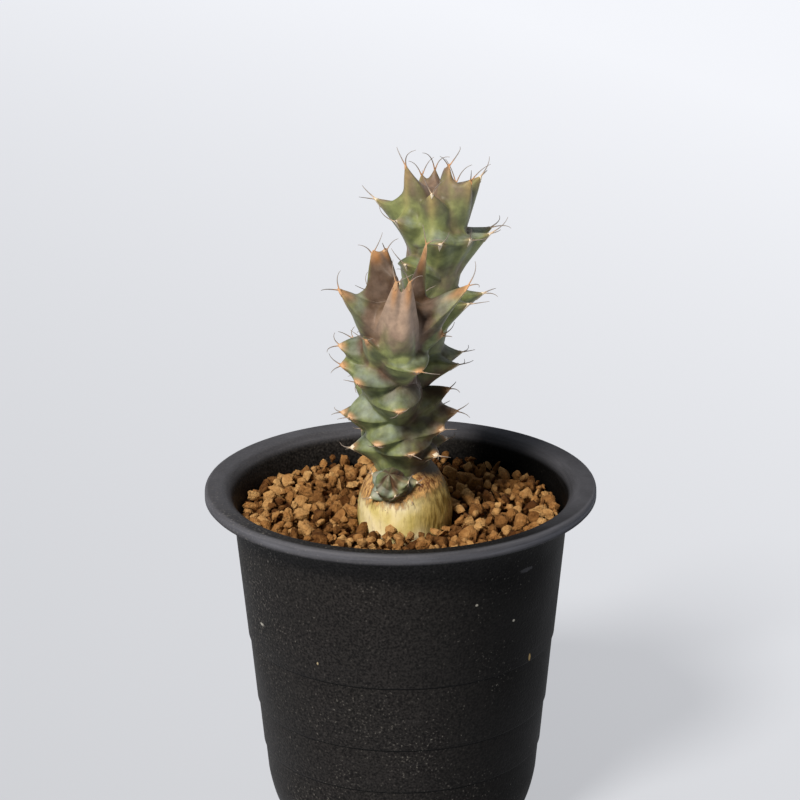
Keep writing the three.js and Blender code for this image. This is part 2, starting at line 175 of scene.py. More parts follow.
def newMaterial(name):
    # A material, what adds a shader node to it, and the Object coordinates that its patterns read.
    material = bpy.data.materials.new(name)
    material.use_nodes = True
    material.node_tree.nodes.clear()

    def add(kind, inputs=None, **settings):
        return addNode(material.node_tree, "ShaderNode" + kind, inputs, **settings)

    return material, add, add("TexCoord").outputs["Object"]


def setStops(ramp, first, last, middle):
    # The three stops of a colour ramp, each a position and a colour.
    stops = ramp.color_ramp.elements
    for stop, (position, colour) in zip(stops, (first, last)):
        stop.position, stop.color = position, hexColour(colour)
    stops.new(middle[0]).color = hexColour(middle[1])


def geometryTree(name, inputs):
    # An empty Geometry Nodes tree with named inputs, its input node and the sockets' identifiers.
    tree = bpy.data.node_groups.new(name, "GeometryNodeTree")
    for side in ("INPUT", "OUTPUT"):
        tree.interface.new_socket("Geometry", in_out=side, socket_type="NodeSocketGeometry")
    identifiers = {}
    for key, (kind, value) in inputs.items():
        socket = tree.interface.new_socket(key, in_out="INPUT", socket_type=kind)
        if value is not None:
            socket.default_value = value
        identifiers[key] = socket.identifier
    return tree, addNode(tree, "NodeGroupInput"), identifiers


def finishTree(tree, geometry, material):
    realized = addNode(tree, "GeometryNodeRealizeInstances", {"Geometry": geometry})
    painted = addNode(tree, "GeometryNodeSetMaterial", {"Geometry": realized, "Material": material})
    addNode(tree, "NodeGroupOutput", {0: painted})


def modifiedMesh(obj):
    graph = bpy.context.evaluated_depsgraph_get()
    return bpy.data.meshes.new_from_object(obj.evaluated_get(graph), depsgraph=graph)


def bakeNodes(host, tree, values, name):
    # Runs the tree on the host and keeps its result as a plain mesh object at the origin.
    modifier = host.modifiers.new(tree.name, "NODES")
    modifier.node_group = tree
    for identifier, value in values.items():
        modifier[identifier] = value
    mesh = modifiedMesh(host)
    mesh.name = name
    bpy.data.objects.remove(host)
    return newObject(name, mesh)


def wrap(angle):
    return (angle + pi) % (2 * pi) - pi


def smoothstep(x, low, high):
    t = np.clip((x - low) / (high - low), 0, 1)
    return t * t * (3 - 2 * t)


def throughPoints(points, steps, spacing=0):
    # A smooth line through the points; spacing 0.5 keeps it from swinging out where they lie unevenly.
    p = np.asarray(points, float)
    q = np.vstack([2 * p[0] - p[1], p, 2 * p[-1] - p[-2]])
    u = np.linspace(0, 1, steps, endpoint=False)[:, None]
    parts = []
    for a, b, c, d in zip(q, q[1:], q[2:], q[3:]):
        t0, t1, t2 = (np.linalg.norm(v) ** spacing for v in (b - a, c - b, d - c))
        m = ((b - a) / t0 - (c - a) / (t0 + t1) + (c - b) / t1) * t1
        n = ((c - b) / t1 - (d - b) / (t1 + t2) + (d - c) / t2) * t1
        parts.append(b + m * u + (3 * (c - b) - 2 * m - n) * u ** 2 + (2 * (b - c) + m + n) * u ** 3)
    return np.vstack(parts + [p[-1:]])


def bezier(a, b, c, d, steps):
    t = np.linspace(0, 1, steps + 1)[1:, None]
    a, b, c, d = (np.asarray(p, float) for p in (a, b, c, d))
    return (1 - t) ** 3 * a + 3 * t * (1 - t) ** 2 * b + 3 * t * t * (1 - t) * c + t ** 3 * d


def revolve(profile, around, centre=(0, 0)):
    turn = np.arange(around) * 2 * pi / around
    radius, height = profile[:, :1], profile[:, 1:]
    x = centre[0] + radius * np.cos(turn)
    y = centre[1] + radius * np.sin(turn)
    return np.stack([x, y, height + 0 * x], -1)


# Pot: black polypropylene, injection moulded, with a flared rim, three shallow steps and a foot ring

pot = dict(height=86, rimRadius=45, lipDepth=2.6, lip=1.1, rimFlat=3.6, neckRadius=37.9, neckHeight=73.5,
           wall=1.1, footRadius=23.4, footWidth=2, footHeight=1.4, floor=1.6, heelRadius=31.6, heelHeight=16,
           steps=(23, 34, 50), stepDepth=0.35, drainRadius=2.4, drainRing=12.5, drains=6, around=180,
           sharp=38)
# Crumbs and scuffs on the front: across, up, half their width and height, and colour
markCentre, markDepth = -36, 30
potMarks = ((29.1, 51.4, 0.35, 1.1, "#b99c66"), (-31.7, 58.7, 0.5, 0.5, "#c9c6bd"),
            (16.7, 69.5, 0.3, 0.3, "#a9a69c"), (25.2, 63, 0.3, 0.3, "#b9b6ac"),
            (28, 74.7, 1.6, 0.6, "#3f3f42"), (-18.8, 54.5, 0.2, 0.4, "#b5a585"))


def potProfile(p):
    # From the foot ring up the outside, over the rim and down the inside; the small numbers round its edges
    neck, top, wall = (p["neckRadius"], p["neckHeight"]), p["height"], p["wall"]
    foot, heel = p["footRadius"], p["heelRadius"]
    line = [(foot - p["footWidth"], p["footHeight"]), (foot - p["footWidth"] + 0.3, 0.1)]
    line += [(foot - p["footWidth"] + 0.45, 0), (foot - 0.15, 0), (foot, 0.15)]
    line += list(bezier((foot, 0.15), (foot + 4.6, 3.6), (heel - 1.2, 8.5), (heel, p["heelHeight"]), 16))
    slope = (neck[0] - p["stepDepth"] * len(p["steps"]) - heel) / (neck[1] - p["heelHeight"])
    radius, height = heel, p["heelHeight"]
    for step in p["steps"]:
        radius += slope * (step - height)
        height = step + 0.45
        line += [(radius, step), (radius + 0.7 * p["stepDepth"], step + 0.16)]
        radius += p["stepDepth"]
        line.append((radius, height))
    rim, lip = p["rimRadius"], p["lip"]
    line += [neck]
    line += list(bezier(neck, (neck[0] + 0.5, top - 5.5), (neck[0] + 2.2, top - lip - 0.6),
                        (rim - lip, top - lip - 0.2), 14))
    line += [(rim - lip, top - p["lipDepth"] + 0.15), (rim - lip + 0.2, top - p["lipDepth"])]
    line += [(rim - 0.35, top - p["lipDepth"]), (rim, top - p["lipDepth"] + 0.4), (rim, top - 1.1)]
    line += list(bezier((rim, top - 1.1), (rim, top - 0.3), (rim - 0.3, top), (rim - 1.1, top), 6))
    line += [(rim - p["rimFlat"] * 0.6, top - 0.03), (rim - p["rimFlat"], top - 0.1)]
    line += list(bezier(line[-1], (neck[0] + 0.7, top - 0.6), (neck[0] - wall + 0.3, top - 4.2),
                        (neck[0] - wall, neck[1]), 18))
    line += [(heel - wall - 0.1, p["heelHeight"])]
    line += list(bezier(line[-1], (heel - 2.4, 9.2), (foot + 4, p["footHeight"] + p["floor"] + 1.2),
                        (foot - 1, p["footHeight"] + p["floor"]), 8))
    return np.array(line)


def buildPot(p):
    grid = revolve(potProfile(p), p["around"])
    points, faces = closedRings(grid, (0, 0, p["footHeight"]), (0, 0, p["footHeight"] + p["floor"]))
    obj = addMesh("pot_shell", points, faces)
    far = p["drainRing"]
    turns = [2 * pi * i / p["drains"] for i in range(p["drains"])]
    cutters = []
    for x, y in [(0, 0)] + [(far * cos(turn), far * sin(turn)) for turn in turns]:
        ring = revolve(np.array([(p["drainRadius"], -3), (p["drainRadius"], 6)]), 24, (x, y))
        cutters.append(addMesh("drain_cutter", *closedRings(ring, (x, y, -3), (x, y, 6))))
    for cutter in cutters:
        cut = obj.modifiers.new("drain", "BOOLEAN")
        cut.operation, cut.solver, cut.object = "DIFFERENCE", "MANIFOLD", cutter
    mesh = modifiedMesh(obj)
    obj.modifiers.clear()
    obj.data = mesh
    mesh.materials.clear()
    for cutter in cutters:
        bpy.data.objects.remove(cutter)
    mesh.set_sharp_from_angle(angle=radians(p["sharp"]))
    return obj


def blackPlastic():
    # Moulded polypropylene: near black and dull, its fine grain dusty in places, with painted shade to the
    # right and a painted reflection on the rim
    material, add, place = newMaterial("moulded_black_polypropylene")
    across, depth, height = add("SeparateXYZ", {"Vector": place}).outputs
    cloud = add("TexNoise", {"Vector": place, "Scale": 45, "Detail": 5})
    grain = add("TexNoise", {"Vector": place, "Scale": 1900, "Detail": 2})
    fine = add("MapRange", {"Value": grain, "From": (0.35, 0.65)})
    coat = add("Mix", {"Factor": fine, under: "#100f0f", over: "#2c2a29"}, **rgba)
    # Painted shade: darker and less glossy towards the right; dust lies to the left and the front
    paintedShadeRight = add("MapRange", {"Value": across, "From": (-0.006, 0.034), "To": (0, 0.88)}, **eased)
    dusty = add("MapRange", {"Value": cloud, "From": (0.38, 0.62), "To": (0.74, 0.62)})
    leftward = add("Math", {0: across, 1: dusty}, operation="ADD")
    specks = add("MapRange", {"Value": grain, "From": (leftward, 0.82), "To": (0, 0.7)})
    handled = add("MapRange", {"Value": depth, "From": (-0.02, 0.02), "To": (1, 0.3)})
    dust = add("Math", {0: specks, 1: handled}, **times)
    # Scratches run round the pot
    stretch = add("Mapping", {"Vector": place, "Scale": (40, 40, 900)})
    scuff = add("TexNoise", {"Vector": stretch, "Scale": 1, "Detail": 5, "Roughness": 0.7})
    scratches = add("MapRange", {"Value": scuff, "From": (0.6, 0.75), "To": (0, 0.14)})
    # Painted reflection on the rim: on its outer lip all round and on its flat away from the front, streaked
    # by the scuffs
    level = add("CombineXYZ", {"X": across, "Y": depth})
    radius = add("VectorMath", {0: level}, operation="LENGTH")
    edge, top = pot["rimRadius"], pot["height"]
    lip = add("MapRange", {
        "Value": radius, "From": ((edge - 1.7) * mm, (edge - 0.3) * mm), "To": (0, 1.1)}, **eased)
    flat = add("MapRange", {"Value": depth, "From": (-0.038, -0.008), "To": (0, 0.75)}, **eased)
    turned = add("Math", {0: lip, 1: flat}, operation="MAXIMUM")
    rim = add("MapRange", {"Value": height, "From": ((top - 2.8) * mm, (top - 1.2) * mm)}, **eased)
    bright = add("Math", {0: rim, 1: turned}, **times)
    paintedSheen = add("Math", {0: bright, 1: scuff}, **times)
    # Layers: painted shade to the right, dust, scratches, and the rim's painted reflection
    layers = [(paintedShadeRight, "#050505"), (dust, "#86837c"), (scratches, "#4a494c"), (paintedSheen, "#6e7079")]
    # A thin near-black line under each step
    for step in pot["steps"]:
        line = add("Math", {0: height, 1: (step + 0.05) * mm, 2: 0.22 * mm}, operation="COMPARE")
        layers.append((add("Math", {0: line, 1: 0.75}, **times), "#040404"))
    # Each crumb or scuff is a ragged ellipse on the front side
    for x, z, wide, high, colour in potMarks:
        away = add("VectorMath", {0: place, 1: (x * mm, markCentre * mm, z * mm)}, operation="SUBTRACT")
        sized = add("VectorMath", {
            0: away, 1: (1 / (wide * mm), 1 / (markDepth * mm), 1 / (high * mm))}, **times)
        reach = add("VectorMath", {0: sized}, operation="LENGTH")
        ragged = add("Math", {0: reach, 1: grain}, operation="ADD")
        spot = add("MapRange", {"Value": ragged, "From": (1.2, 1.6), "To": (0.85, 0)})
        layers.append((spot, colour))
    for factor, colour in layers:
        coat = add("Mix", {"Factor": factor, under: coat, over: colour}, **rgba)
    rough = add("MapRange", {"Value": cloud, "From": (0.3, 0.7), "To": (0.5, 0.64)})
    # Less specular towards the right, as part of the painted shade
    gloss = add("MapRange", {"Value": paintedShadeRight, "To": (0.12, 0.03)})
    bump = add("Bump", {"Height": grain, "Strength": 0.6, "Distance": 0.00018})
    shader = add("BsdfPrincipled", {
        "Base Color": coat, "Roughness": rough, "IOR": 1.49, "Specular IOR Level": gloss, "Normal": bump})
    add("OutputMaterial", {"Surface": shader})
    return material


potShell = buildPot(pot)
potShell.data.materials.append(blackPlastic())
print("pot turned")


# Soil: akadama, dry clay grains dropped one by one on a bed until they fill the pot to its level

soil = dict(level=80.2, heap=1.4, bedDepth=5.2, wallRadius=36.9, caudexRadius=11.2, sizes=(0.8, 2.2),
            fineness=1.7, grains=1350, tries=60, shapes=14, corners=14, smoothing=0.55, stretch=0.45,
            uneven=0.085, sharp=58, fill=1.14, tones=0.6, deepGrainShade=0.22, deepGrainShadeSpan=3, seed=4, around=96,
            bedSide=((20, 4), (27, 8), (29.8, 16), (34.9, 55), (35.9, 70), (36.2, 76.2)), bedInner=26,
            leaning=((-2.3, -16.3, 80.9, 1.35),))  # a grain that leans on the bulb's front
caudexCentre = (0.9, -4.7)


def dropGrains(s):
    # Each grain falls at the lowest of several places, resting on those already there.
    random = np.random.default_rng(s["seed"])
    floor = s["level"] - s["bedDepth"]
    kept = np.array(s["leaning"])
    for _ in range(s["grains"]):
        radius = s["sizes"][0] + (s["sizes"][1] - s["sizes"][0]) * random.random() ** s["fineness"]
        turn, reach = random.random(s["tries"]) * 2 * pi, np.sqrt(random.random(s["tries"]))
        x = (s["wallRadius"] - radius) * reach * np.cos(turn)
        y = (s["wallRadius"] - radius) * reach * np.sin(turn)
        clear = np.hypot(x - caudexCentre[0], y - caudexCentre[1]) > s["caudexRadius"] + radius * 0.75
        x, y = x[clear], y[clear]
        touch = kept[:, 3] + radius
        away = (x[:, None] - kept[:, 0]) ** 2 + (y[:, None] - kept[:, 1]) ** 2
        rest = kept[:, 2] + np.sqrt(np.clip(touch ** 2 - away, 0, None))
        height = np.maximum(floor + radius, np.where(away < touch ** 2, rest, floor).max(1))
        lowest = height.argmin()
        if height[lowest] + radius * 0.8 < s["level"] + s["heap"]:
            kept = np.vstack([kept, (x[lowest], y[lowest], height[lowest], radius)])
    return kept


def grainShape(name, s, random):
    # A lump of clay: a broken, many-sided block with its corners worn off
    lump = bmesh.new()
    for v in random.normal(size=(s["corners"], 3)):
        lump.verts.new(v / np.linalg.norm(v) * random.uniform(0.85, 1.1))
    hull = bmesh.ops.convex_hull(lump, input=lump.verts)
    loose = {*hull["geom_interior"], *hull["geom_unused"]}
    inside = [v for v in loose if isinstance(v, bmesh.types.BMVert)]
    bmesh.ops.delete(lump, geom=inside, context="VERTS")
    bmesh.ops.subdivide_edges(lump, edges=lump.edges, cuts=1, use_grid_fill=True)
    axes = dict(use_axis_x=True, use_axis_y=True, use_axis_z=True)
    bmesh.ops.smooth_vert(lump, verts=lump.verts, factor=s["smoothing"], **axes)
    stretch = 0.85 + s["stretch"] * random.random(3)
    for vert in lump.verts:
        vert.co = np.array(vert.co) * stretch * (1 + s["uneven"] * random.normal())
    bmesh.ops.recalc_face_normals(lump, faces=lump.faces)
    mesh = bpy.data.meshes.new(name)
    lump.to_mesh(mesh)
    lump.free()
    mesh.polygons.foreach_set("use_smooth", [True] * len(mesh.polygons))
    mesh.set_sharp_from_angle(angle=radians(s["sharp"]))
    return bpy.data.objects.new(name, mesh)


def clay():
    # Akadama: dry baked clay, ochre to red-brown, each grain a little different, dusty and quite matt;
    # deeper grains and the bed below are darker as painted shade
    material, add, place = newMaterial("dry_akadama_clay")
    toneAndShade = add("Attribute", attribute_name="toneAndShade").outputs["Fac"]
    patches = add("TexNoise", {"Vector": place, "Scale": 700, "Detail": 5, "Roughness": 0.65})
    mixed = add("Math", {0: patches, 1: 0.7, 2: toneAndShade}, **timesPlus)
    ramp = add("ValToRGB", {"Fac": mixed})
    setStops(ramp, (0.3, "#543317"), (1, "#d6ab71"), (0.65, "#a27443"))
    fine = add("TexNoise", {"Vector": place, "Scale": 1100, "Detail": 6, "Roughness": 0.6})
    bump = add("Bump", {"Height": fine, "Strength": 1, "Distance": 0.0011})
    shader = add("BsdfPrincipled", {
        "Base Color": ramp, "Roughness": 0.95, "Specular IOR Level": 0.15, "Normal": bump})
    add("OutputMaterial", {"Surface": shader})
    return material


def buildSoil(s):
    random = np.random.default_rng(s["seed"] + 1)
    shapes = bpy.data.collections.new("grain_shapes")
    for i in range(s["shapes"]):
        shapes.objects.link(grainShape("grain_%02d" % i, s, random))
    kept = dropGrains(s)
    host = addMesh("grain_places", kept[:, :3], [])
    setAttribute(host, "size", kept[:, 3] * mm)
    # Grains lying deeper below the level get a darker tone: painted shade in the gaps
    sunk = np.clip((s["level"] - kept[:, 2]) / s["deepGrainShadeSpan"], -0.4, 1)
    setAttribute(host, "toneAndShade", random.random(len(kept)) * s["tones"] - s["deepGrainShade"] * sunk)
    tree, given, ids = geometryTree("scatter_grains", {
        "Shapes": ("NodeSocketCollection", None), "Fill": ("NodeSocketFloat", s["fill"]),
        "Seed": ("NodeSocketInt", 7)})
    info = addNode(tree, "GeometryNodeCollectionInfo", {
        "Collection": given.outputs["Shapes"], "Separate Children": True, "Reset Children": True})
    turn = addNode(tree, "FunctionNodeRandomValue", {
        "Max": (2 * pi, 2 * pi, 2 * pi), "Seed": given.outputs["Seed"]}, data_type="FLOAT_VECTOR")
    size = addNode(tree, "GeometryNodeInputNamedAttribute", {"Name": "size"}, data_type="FLOAT")
    fill = addNode(tree, "ShaderNodeMath", {0: size, 1: given.outputs["Fill"]}, **times)
    placed = addNode(tree, "GeometryNodeInstanceOnPoints", {
        "Points": given, "Instance": info, "Pick Instance": True, "Rotation": turn, "Scale": fill})
    material = clay()
    finishTree(tree, placed, material)
    grains = bakeNodes(host, tree, {ids["Shapes"]: shapes}, "soil_grains")
    for shape in list(shapes.objects):
        bpy.data.objects.remove(shape)
    bpy.data.collections.remove(shapes)
    top = s["bedSide"][-1][1]
    profile = np.array([*s["bedSide"], (s["bedInner"], top), (s["caudexRadius"] + 0.5, top)])
    rings = revolve(profile, s["around"])
    bed = addMesh("soil_bed", *closedRings(rings, (0, 0, s["bedSide"][0][1]), (*caudexCentre, top)))
    bed.data.materials.append(material)
    # The bed seen between the grains takes a tone darker than most grains: painted shade
    setAttribute(bed, "toneAndShade", np.zeros(len(bed.data.vertices)))
    return grains, bed


soilGrains, soilBed = buildSoil(soil)
print("soil filled:", len(soilGrains.data.polygons), "faces")


# Caudex: the swollen root, its waxy ochre skin smooth low down, with a torn, fibrous band below its crown

caudex = dict(centre=caudexCentre, crown=94.9, root=33, around=200, rows=150, lumps=0.3, lumpSize=9,
              crackle=0.1, crackleSize=0.8, drawn=0.32, fadeTop=3, fadeRoot=(70, 8),
              shoulder=((3.4, 94.7), (5.4, 93.8), (6.6, 92.3), (8, 90.4), (9.7, 87), (10.6, 83.8),
                        (10.8, 80.5), (10.4, 76.5), (9, 71), (6.6, 64.5), (4.4, 57), (2.9, 47), (1.7, 37)))


def ripple(point, size, octaves):
    return noise.fractal(Vector(point) / size, 1.0, 2.0, octaves)


def buildCaudex(c):
    line = throughPoints(c["shoulder"][::-1], 24)
    rows = np.linspace(0, len(line) - 1, c["rows"])
    profile = np.stack([np.interp(rows, np.arange(len(line)), line[:, k]) for k in (0, 1)], -1)
    grid = revolve(profile, c["around"], c["centre"])
    centre = np.array([*c["centre"], 0])
    for ring, (radius, height) in zip(grid, profile):
        fade = np.clip((c["crown"] - height) / c["fadeTop"], 0, 1)
        fade *= np.clip((height - c["fadeRoot"][0]) / c["fadeRoot"][1], 0, 1)
        for i, p in enumerate(ring):
            out = (p - centre) * (1, 1, 0) / radius
            low = ripple(p, c["lumpSize"], 2) * c["lumps"]
            fibres = ripple((p[0], p[1], p[2] * c["drawn"]), c["crackleSize"], 3) * c["crackle"]
            ring[i] = p + out * (low + fibres) * fade
    return addMesh("caudex_bark", *closedRings(grid, (*c["centre"], c["root"]), (*c["centre"], c["crown"])))


def bark():
    # Waxy ochre skin, smooth low down; brown, torn and fibrous above; grey-purple over the right shoulder
    material, add, place = newMaterial("caudex_bark")
    paintedSheen, aged, torn, crown = (add("Attribute", attribute_name=key).outputs["Fac"]
                                 for key in ("paintedSheen", "aged", "torn", "crown"))
    drawn = add("Mapping", {"Vector": place, "Scale": (1, 1, 0.22)})
    broad = add("TexNoise", {"Vector": place, "Scale": 130, "Detail": 4})
    fibres = add("TexNoise", {"Vector": drawn, "Scale": 1200, "Detail": 5, "Roughness": 0.65})
    streaks = add("MapRange", {"Value": fibres, "From": (0.42, 0.58)})
    # Low down it is waxy and yellow, paler where a highlight is painted on the front-left, and scaly where
    # it is aged
    paled = add("Math", {0: paintedSheen, 1: 0.1, 2: broad}, **timesPlus)
    coat = add("ValToRGB", {"Fac": paled})
    setStops(coat, (0.34, "#bfae5a"), (0.64, "#f9edc3"), (0.48, "#e6d794"))
    scaly = add("Mix", {"Factor": streaks, under: "#80672d", over: "#c3ab66"}, **rgba)
    # The torn band is brown, with paler papery shreds inside it
    frayed = add("Math", {0: fibres, 1: 2.2, 2: torn}, **timesPlus)
    band = add("MapRange", {"Value": frayed, "From": (1, 1.75), "To": (0, 0.9)}, **eased)
    inside = add("MapRange", {"Value": band, "From": (0.35, 0.9)})
    papery = add("Math", {0: inside, 1: streaks}, **times)
    browns = add("Mix", {"Factor": papery, under: "#753c0f", over: "#e0ae6a"}, **rgba)
    flecks = add("MapRange", {"Value": fibres, "From": (0.56, 0.68), "To": (0, 0.4)})
    for factor, layer in ((aged, scaly), (band, browns), (flecks, "#8a6a34"), (crown, "#6b6357")):
        coat = add("Mix", {"Factor": factor, under: coat, over: layer}, **rgba)
    coarse, rough = (add("MapRange", {"Value": band, "From": (0, 0.9), "To": (low, high)})
                     for low, high in ((0.45, 1), (0.28, 0.8)))
    bump = add("Bump", {"Height": fibres, "Strength": coarse, "Distance": 0.0005})
    shader = add("BsdfPrincipled", {
        "Base Color": coat, "Roughness": rough, "Specular IOR Level": 0.65, "Normal": bump})
    add("OutputMaterial", {"Surface": shader})
    return material


def pointsOf(obj):
    points = np.empty(len(obj.data.vertices) * 3)
    obj.data.vertices.foreach_get("co", points)
    return points.reshape(-1, 3) / mm


barkMarks = dict(crownFrom=93.5, crownDip=3.6, crownFade=1.4, aged=(0.94, -0.34), agedEdge=(0.35, 0.95),
                 paintedSheen=(-0.3, -0.954), paintedSheenEdge=(0.9, 1), tornFade=3.2,
                 tornFrom=((-1, -0.5, 0, 0.3, 1), (84.3, 84.6, 85, 86.6, 88)))


def markBark(obj, m):
    # Painted by place: the crown's colour above an edge that dips to the right, aged skin where it faces
    # right and a painted highlight where it faces the front, a little to the left, and the torn band above
    # an edge that rises from left to right.
    where = pointsOf(obj)
    outward = where[:, :2] - caudexCentre
    outward /= np.maximum(np.hypot(*outward.T), 0.1)[:, None]
    crownFrom = m["crownFrom"] - m["crownDip"] * np.clip(outward[:, 0], 0, 1)
    tornFrom = np.interp(outward[:, 0], *m["tornFrom"])
    setAttribute(obj, "crown", np.clip((where[:, 2] - crownFrom) / m["crownFade"], 0, 1))
    setAttribute(obj, "aged", smoothstep(outward @ m["aged"], *m["agedEdge"]))
    setAttribute(obj, "paintedSheen", smoothstep(outward @ m["paintedSheen"], *m["paintedSheenEdge"]))
    setAttribute(obj, "torn", np.clip((where[:, 2] - tornFrom) / m["tornFade"], -1, 1))


caudexBark = buildCaudex(caudex)
markBark(caudexBark, barkMarks)
caudexBark.data.materials.append(bark())
print("caudex turned")


# Stems: teeth by one formula round a curved axis. Each tooth is its azimuth from the front in degrees,
# its root's height along the axis, its length and its lean above the horizontal in degrees; then, where
# they aren't 1, how wide its base is, how tall and full its upper side, and how far it runs down.
# A swell is a rounded bulge between them: azimuth, height, how far it stands out, its width and its reach.

tooth = dict(halfWidth=6, above=3.6, below=6.4, pad=7, keel=0.2, keelLine=0.07, hollow=1.5, merge=4,
             mean=6.6, grow=0.75, growLimits=(0.7, 1.6), tanWidth=0.9, tanFrom=((7, 12), (2.8, 10)),
             round=0.45, upperReach=1.5, spacing=6.4, firstRoot=4, matureBelowTip=16, crownBelowTip=13)
spiral = dict(turn=137.5, side=-0.75, clear=1.15, belowTip=5)
skinGrid = dict(around=200, along=300, top=0.12)
budGrid = dict(around=90, along=70, top=0.1)

frontStem = dict(
    name="front", core=6.9, foot=6.3, footLength=7, dome=5, lean=(2, 30, 70), rise=1.55, length=6.4,
    spiralStart=150, shieldWidth=1.3, shieldLength=3.6, creamBelowLean=7, flushFrom=(0.78, 1.02),
    youngFlush=(0.22, 0.6, 0.1), valleyFlushAndShade=1.1, shaded=(62, 30, 0.5), tan=0.9, spineGrowth=(0.55, 1),
    seed=11,
    axis=((0.6, -4.8, 91.5), (-0.6, -5.5, 101), (-1.6, -8, 110), (-1.8, -12.5, 120), (-0.8, -17.2, 129),
          (-0.2, -19.2, 133), (0.1, -20.2, 135.6)),
    teeth=((-80, 7, 4.6, 5), (-22, 12, 5.6, 15, 1, 1.4, 1.2), (14, 7.5, 5, 10, 1.2, 1.9),
           (48, 5, 5, 0, 1, 1, 0.6), (98, 5.5, 4.5, -5, 1, 1, 0.6), (-90, 14.5, 5.6, 15),
           (-57, 17, 5.6, 20, 1.1, 1.3, 1.2), (56, 11.5, 6.2, 10, 1.1, 1.2), (84, 12.5, 7.6, 8),
           (8, 23, 6.6, 25, 1.15, 1.6, 1.3), (96, 16, 7, 25), (-38, 29, 6, 25, 1.1, 1.3, 1.3),
           (-66, 30, 6, 20), (-82, 32.5, 5.8, 20), (29, 35.5, 6.8, 28, 1.2, 1.15, 1.3), (85, 38, 4.5, 33),
           (-39, 37.5, 6.3, 58, 0.9), (-89, 43, 9.8, 44, 0.9), (95, 43, 13.1, 53),
           (-14, 43, 15.2, 91, 0.55, 1.7, 0.7), (12, 43, 15.4, 93, 0.65, 1.7, 0.7),
           (-130, 44, 12.3, 77, 0.7, 1.6), (-147, 44, 12.7, 85, 0.7, 1.6), (147, 44, 15.6, 84.5, 0.6),
           (-138, 6, 6, 8), (-138, 18.3, 6.2, 16), (-136, 25.8, 6.2, 20), (130, 9, 6, 8)),
    swells=((9, 39.5, 2.8, 3.2, 2.4), (-6, 1.5, 1.2, 3.5, 2.5), (95, 26, -1.6, 4.5, 4)))
backStem = dict(
    name="back", core=6.4, foot=5.6, footLength=6, dome=8, lean=(8, 27, 76), rise=1.5, length=6.6,
    spiralStart=30, shieldWidth=0.6, shieldLength=3, creamBelowLean=55, flushFrom=(0.85, 1.12),
    youngFlush=(0.42, 0.1, 0.4), valleyFlushAndShade=0.8, shaded=(90, 30, 0.3), tan=0.35, spineGrowth=(0.8, 1),
    seed=23,
    axis=((-0.2, -4, 99), (1.2, -1.8, 110), (3.6, 0.3, 120), (6, 1.3, 130), (8.2, 2, 141),
          (9.1, 2.3, 155.5)),
    teeth=((59, 17.5, 6.4, 22), (104, 19.5, 5.6, 21), (-85, 20, 4.6, 20), (-95, 11, 4, 15),
           (-90, 28, 7, 26), (48, 31.5, 7, 28), (85, 33, 7.2, 28), (-33, 38, 7.2, 30, 1, 1.5),
           (2, 44.5, 7.2, 30, 1, 1.8), (37, 45.5, 6.8, 30, 1, 1.2), (74, 45.5, 7, 29), (112, 45.5, 7.6, 21),
           (-49, 48.5, 7.6, 28), (-89, 51, 9.2, 26), (-10, 52.5, 8.2, 54, 1, 1, 1.5),
           (46, 55, 8.2, 56, 1, 1, 1.5), (83, 55.5, 7.6, 52), (-58, 54.5, 10.4, 66, 1.1, 1, 1.2),
           (22, 57, 7.6, 78), (-144, 53.5, 6.2, 80), (-168, 54.5, 6.6, 89), (141, 53.5, 5, 86)),
    swells=((85, 12.5, -1.6, 5, 3.5),))
offset = dict(
    name="bud", core=3.7, foot=3.7, footLength=1, dome=3.8, seed=5, shieldWidth=1, shieldLength=1.2,
    creamBelowLean=90, flushFrom=(0.9, 1.4), youngFlush=(0, 0, 0.1), valleyFlushAndShade=0.3, shaded=(60, 9, 0.3),
    tan=0.3, spineGrowth=(1, 1),
    axis=((-1.3, -9.6, 88.3), (-2, -12.4, 90.6), (-2.5, -14.6, 93.6)),
    teeth=((-72, 2.2, 2.4, 20, 1, 1, 1), (-20, 1, 1.8, 5), (34, 1.6, 2, 10), (78, 2.6, 2.4, 20),
           (-130, 3, 1.8, 30), (8, 4.2, 1.6, 40), (-42, 4.6, 1.9, 50), (60, 5, 1.8, 50),
           (160, 4.5, 1.6, 45)),
    swells=((-25, 3.6, 0.5, 2.2, 1.3), (45, 3.2, 0.5, 2, 1.4), (14, 6.2, -0.95, 1.3, 2.2),
            (-62, 6.2, -0.95, 1.3, 2.2), (-150, 6.4, -0.8, 1.5, 1.6), (98, 6.4, -0.9, 1.4, 1.8)))


def stemAxis(points):
    # A rounded line through the points, with its direction, its front and its right at every step.
    line = throughPoints(points, 80, 0.5)
    arc = np.concatenate([[0], np.cumsum(np.linalg.norm(np.diff(line, axis=0), axis=1))])
    along = np.gradient(line, arc, axis=0)
    along /= np.linalg.norm(along, axis=1)[:, None]
    front = np.array([0, -1.0, 0]) + along * along[:, 1:2]
    front /= np.linalg.norm(front, axis=1)[:, None]
    return dict(arc=arc, length=arc[-1], line=line, along=along, front=front, right=np.cross(along, front))


def onAxis(axis, height, radius, azimuth):
    height, radius, azimuth = np.broadcast_arrays(np.asarray(height, float), radius, azimuth)
    held = np.clip(height, 0, axis["length"])
    line, along, front, right = (
        np.stack([np.interp(held, axis["arc"], axis[key][:, k]) for k in range(3)], -1)
        for key in ("line", "along", "front", "right"))
    turned = np.cos(azimuth)[..., None] * front + np.sin(azimuth)[..., None] * right
    return line + along * (height - held)[..., None] + radius[..., None] * turned


